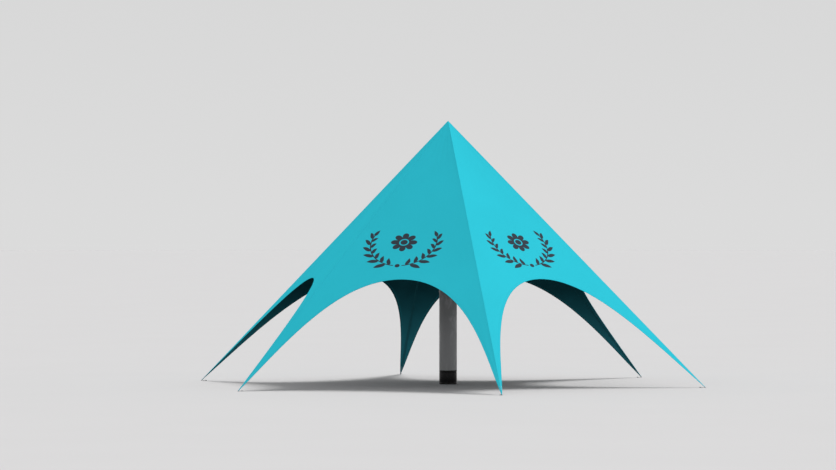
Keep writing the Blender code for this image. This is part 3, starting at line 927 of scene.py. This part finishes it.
def make_shoe(k, finish, coat):
    """The steel shoe at a leg's tip: a lug plate with a hole, and a tongue folded along the ridge that
    runs up under the cloth, dipped in a dark coat and riveted through it."""
    azimuth = 2 * k * HALF_SECTOR
    shell = Shell(f"leg_shoe_plate_{k + 1}")
    # The plate's outline is the arcs of its nose and its heel, joined by their common tangents.
    nose = LEG_REACH - NOSE_RADIUS
    lean = math.acos((HEEL_RADIUS - NOSE_RADIUS) / (nose - STAKE_PLACE))
    front = circle(nose, NOSE_RADIUS, np.linspace(-lean, lean, 17))
    back = circle(STAKE_PLACE, HEEL_RADIUS, np.linspace(lean, math.tau - lean, 41)[:-1])
    outline = np.concatenate([front, back, front[:1]])
    turn = np.arctan2(outline[:, 1], outline[:, 0] - STAKE_PLACE)
    bevel = 0.0007
    share = np.array([0.0, 0.0, 0.04, 0.96, 1.0, 1.0, 0.96, 0.04, 0.0])[:, None]
    high = np.array([bevel, PLATE - bevel, PLATE, PLATE, PLATE - bevel, bevel, 0.0, 0.0, bevel])
    flat = circle(STAKE_PLACE, 0.0075, turn)[:, None] * (1.0 - share) + outline[:, None] * share
    shell.grid(turned(flat[..., 0], flat[..., 1], high, azimuth))
    # The tongue starts half way up the plate, and narrows to its top in a rounded end.
    rows = np.linspace(0.0, 1.0, 45)[:, None]
    half = tongue_half(TONGUE_LENGTH * rows)
    half = half * (1.0 - 0.45 * np.clip((rows - 0.94) / 0.06, 0.0, 1.0) ** 2)
    columns = np.array([-1.0, -0.95, -0.6, -0.2, -0.06, 0.0, 0.06, 0.2, 0.6, 0.95, 1.0])
    c = half * columns
    trim = 0.0007 * (np.abs(columns) == 1.0)
    layers = []
    for depth in (TONGUE_TOP + trim, TONGUE_LOW - trim):
        foot = (0.5 * PLATE + depth / SLOPE_COS) / SLOPE_SIN * RIDGE_LENGTH + np.abs(c) * HALF_BASE
        a = foot / FACE_LENGTH + (TONGUE_LENGTH - foot / FACE_LENGTH) * rows
        layers.append(leg_point(a, c, depth, azimuth, None))
    shell.slab(*layers, wears=(1, 1))
    add_rivets(shell, azimuth, TONGUE_LOW, -1.0, None, radius=0.0046, height=0.0026, root=0.002)
    shell.build([finish, coat], "zinc_steel", f"leg_shoe_{k + 1}", sharp=40.0)


def make_rivets(k, cloth, finish):
    """The domed heads on the outside of a leg."""
    shell = Shell(f"leg_rivets_{k + 1}")
    add_rivets(shell, 2 * k * HALF_SECTOR, 0.0, 1.0, cloth, radius=0.0050, height=0.0028, root=0.001)
    shell.build([finish], "zinc_steel", sharp=40.0)


def make_stake(k, finish):
    """A stake's shank and its forged dome, with a small flat struck on top."""
    seat, shank, head, edge = PLATE + GAP, 0.007, 0.016, 0.0006
    rise = np.linspace(0.0, 0.42 * np.pi, 8)
    dome = stack(head * np.cos(rise), seat + 0.0032 + 0.0080 * np.sin(rise))
    foot = [(0.0, 0.0), (shank - edge, 0.0), (shank, edge), (shank, seat), (head - edge, seat)]
    profile = np.concatenate([foot, [(head, seat + edge)], dome, [(0.0, dome[-1, 1])]])
    shell = Shell(f"stake_head_{k + 1}")
    spin(shell, profile, 40, STAKE_PLACE, 2 * k * HALF_SECTOR)
    shell.build([finish], "zinc_steel", f"ground_stake_{k + 1}", sharp=40.0)


def make_foot(finish):
    """The black foot: a thick moulded cup with a chamfered base, two shallow grooves and a spigot."""
    top = FOOT_HEIGHT + SPIGOT_LENGTH
    corners = [(MAST_RADIUS - 0.004, 0.0), (MAST_RADIUS, 0.004)]
    for level in (0.034, 0.222):
        corners += groove(MAST_RADIUS, level, level + 0.007, 0.0025, 0.0015)
    corners += [
        (MAST_RADIUS, FOOT_HEIGHT), (SPIGOT_RADIUS, FOOT_HEIGHT), (SPIGOT_RADIUS, top), (SPIGOT_BORE, top),
        (SPIGOT_BORE, FOOT_FLOOR)]
    shell = Shell("mast_foot_cup")
    radii = [0.0] + [0.0012] * len(corners) + [0.0]
    spin(shell, rounded([(0.0, 0.0), *corners, (0.0, FOOT_FLOOR)], radii, 3))
    shell.build([finish], "black_plastic", "mast_foot", sharp=50.0)


def make_mast(metal, finish):
    """Three tubes with rounded ends, and round each joint a grooved collar with button-head bolts."""
    bore = MAST_RADIUS - MAST_WALL
    for part, low, high in zip(("lower", "middle", "upper"), MAST_JOINTS[:-1] + GAP, MAST_JOINTS[1:]):
        shell = Shell(f"mast_tube_{part}")
        spin(shell, rounded([(MAST_RADIUS, low), (MAST_RADIUS, high), (bore, high), (bore, low)], 0.0012))
        shell.build([finish], "mast_alloy", f"mast_{part}_tube", sharp=50.0)
    bore = MAST_RADIUS + GAP
    out, step = bore + 0.004, 0.0012
    for part, joint in zip(("lower", "upper"), MAST_JOINTS[1:]):
        low, high = joint - 0.03, joint + 0.03
        corners = [
            (bore, low), (out - 0.001, low), (out, low + 0.002),
            *groove(out, low + 0.011, high - 0.011, step, 0.0015),
            (out, high - 0.002), (out - 0.001, high), (bore, high)]
        shell = Shell(f"mast_collar_{part}")
        spin(shell, rounded(corners, 0.0008, 3))
        for turn in math.tau * (np.arange(metal.collar_bolts) + 0.5) / metal.collar_bolts:
            place, axis = turned(out - step, 0.0, joint, turn), turned(1.0, 0.0, 0.0, turn)
            stud(shell, place, axis, radius=0.009, height=0.0048, root=0.002)
        shell.build([finish], "mast_alloy", f"mast_{part}_collar", sharp=50.0)


def make_head(finish):
    """The cone that bears the peak, hollow below, its upright rim grooved once and its edges rounded."""
    tip, shoulder, hollow = HEAD_RIM + HEAD_RISE, HEAD_RIM - HEAD_SIDE, HEAD_RIM - SPIGOT_WALL
    peak = [(0.0, tip - 0.003), (0.006, tip - 0.0068)]
    corners = [
        (MAST_RADIUS, HEAD_RIM), *groove(MAST_RADIUS, HEAD_RIM - 0.010, HEAD_RIM - 0.020, 0.002, -0.002),
        (MAST_RADIUS, shoulder), (SPIGOT_RADIUS, shoulder), (SPIGOT_RADIUS, shoulder - SPIGOT_LENGTH),
        (SPIGOT_BORE, shoulder - SPIGOT_LENGTH), (SPIGOT_BORE, hollow)]
    outline = rounded(
        [*peak, *corners, (0.0, hollow + SPIGOT_BORE * SLOPE_SIN / SLOPE_COS)],
        [0.0, 0.004] + [0.0010] * len(corners) + [0.0], 3)
    shell = Shell("mast_head_cone")
    spin(shell, outline)
    shell.build([finish], "black_plastic", "mast_head", sharp=50.0)


# The stage


def make_floor(stage):
    """The floor: rings of faces that look up, a hair below the tent's feet."""
    rings = np.array([300.0, 60.0, 20.0, 8.0, 0.0])
    turn = np.linspace(0.0, math.tau, 49)[:, None]
    shell = Shell("floor", ())
    shell.grid(stack(rings * np.cos(turn), rings * np.sin(turn), -0.0005))
    mesh = shell.mesh()
    mesh.materials.append(floor_finish(stage))
    placed("floor", mesh)


def make_sky(stage):
    """Even light from all round, brighter towards the horizon, where it meets the floor's own tone."""
    finish = Finish("soft_studio", "worlds", "Background")
    height = finish.parts(finish.node("ShaderNodeTexCoord", output="Generated"))[2]
    overhead, horizon = stage.sky_strength, 0.71
    strength = height.below(0.25, 0.5) * (horizon - overhead) + overhead
    finish.fill(finish.shader, {"Color": (1.0, 1.0, 1.0), "Strength": strength})
    bpy.context.scene.world = finish.made


def make_key(stage):
    """One soft sun, 60 degrees up, from 60 degrees round."""
    light = bpy.data.lights.new("key", "SUN")
    light.energy = stage.key_strength
    light.angle = math.radians(24.0)
    light.color = (1.0, 0.985, 0.965)
    height, azimuth = math.radians(60.0), math.radians(60.0)
    placed("key", light).rotation_euler = (0.5 * math.pi - height, 0.0, azimuth + 0.5 * math.pi)


def make_camera(stage):
    """The camera, on a circle round the mast, turned a little off it and down."""
    lens = bpy.data.cameras.new("camera")
    lens.lens = stage.lens
    lens.sensor_width = 36.0
    lens.clip_start, lens.clip_end = 1.0, 900.0
    camera = placed("camera", lens)
    camera.location = turned(0.0, -stage.distance, 3.17, math.radians(19.07))
    camera.rotation_euler = (math.radians(89.724), 0.0, math.radians(19.48))
    bpy.context.scene.camera = camera


# Operators


class STARTENT_OT_mast(Operator):
    """Builds the mast: its foot, tubes, collars and head"""

    bl_idname = "star_tent.mast"
    bl_label = "Mast"

    def execute(self, context):
        metal = context.scene.star_tent_metal
        black = black_finish(metal)
        make_foot(black)
        make_mast(metal, alloy_finish(metal))
        make_head(black)
        return {"FINISHED"}


class STARTENT_OT_anchors(Operator):
    """Builds the shoe and the stake at each leg's tip"""

    bl_idname = "star_tent.anchors"
    bl_label = "Shoes and stakes"

    def execute(self, context):
        steel = zinc_finish(context.scene.star_tent_metal)
        coat = dip_finish(context.scene.star_tent_cloth)
        for k in range(LEG_COUNT):
            make_shoe(k, steel, coat)
            make_stake(k, steel)
        return {"FINISHED"}


class STARTENT_OT_canopy(Operator):
    """Builds the canopy as one continuous sheet, with its rivets"""

    bl_idname = "star_tent.canopy"
    bl_label = "Canopy"

    def execute(self, context):
        cloth = context.scene.star_tent_cloth
        make_canopy(cloth)
        for k in range(LEG_COUNT):
            make_rivets(k, cloth, bpy.data.materials["zinc_steel"])
        return {"FINISHED"}


class STARTENT_OT_trim(Operator):
    """Builds the hem tapes, the ridge belts and the lining of the peak"""

    bl_idname = "star_tent.trim"
    bl_label = "Hems, belts and lining"

    def execute(self, context):
        cloth = context.scene.star_tent_cloth
        tape = tape_finish(cloth)
        webbing = webbing_finish(cloth)
        for k in range(LEG_COUNT):
            make_hem(k, cloth, tape)
            make_belt(k, cloth, webbing)
        make_lining(cloth, webbing)
        return {"FINISHED"}


class STARTENT_OT_stage(Operator):
    """Builds the pale floor, the soft light and the camera"""

    bl_idname = "star_tent.stage"
    bl_label = "Stage"

    def execute(self, context):
        for make in (make_floor, make_sky, make_key, make_camera):
            make(context.scene.star_tent_stage)
        context.scene.view_settings.view_transform = "Standard"
        return {"FINISHED"}


class STARTENT_PT_panel(Panel):
    """Lists the tent's settings and the operators that build it"""

    bl_idname = "STARTENT_PT_panel"
    bl_label = "Star Tent"
    bl_space_type = "VIEW_3D"
    bl_region_type = "UI"
    bl_category = "Star Tent"

    def draw(self, context):
        for name, group in GROUPS.items():
            box = self.layout.box()
            for setting in group.__annotations__:
                box.prop(getattr(context.scene, name), setting)
        for operator in OPERATORS:
            self.layout.operator(operator.bl_idname)


GROUPS = {
    "star_tent_cloth": StarTentCloth,
    "star_tent_metal": StarTentMetal,
    "star_tent_stage": StarTentStage,
}
OPERATORS = (
    STARTENT_OT_mast, STARTENT_OT_anchors, STARTENT_OT_canopy, STARTENT_OT_trim, STARTENT_OT_stage)


def register():
    """Registers the settings, the operators and the panel."""
    for name, group in GROUPS.items():
        bpy.utils.register_class(group)
        setattr(bpy.types.Scene, name, PointerProperty(type=group))
    for made in (*OPERATORS, STARTENT_PT_panel):
        bpy.utils.register_class(made)


def unregister():
    """Takes them away again."""
    for made in (STARTENT_PT_panel, *reversed(OPERATORS)):
        bpy.utils.unregister_class(made)
    for name, group in GROUPS.items():
        delattr(bpy.types.Scene, name)
        bpy.utils.unregister_class(group)


def main():
    """Builds every piece in order."""
    register()
    bpy.ops.star_tent.mast()
    bpy.ops.star_tent.anchors()
    bpy.ops.star_tent.canopy()
    bpy.ops.star_tent.trim()
    bpy.ops.star_tent.stage()


if __name__ == "__main__":
    main()
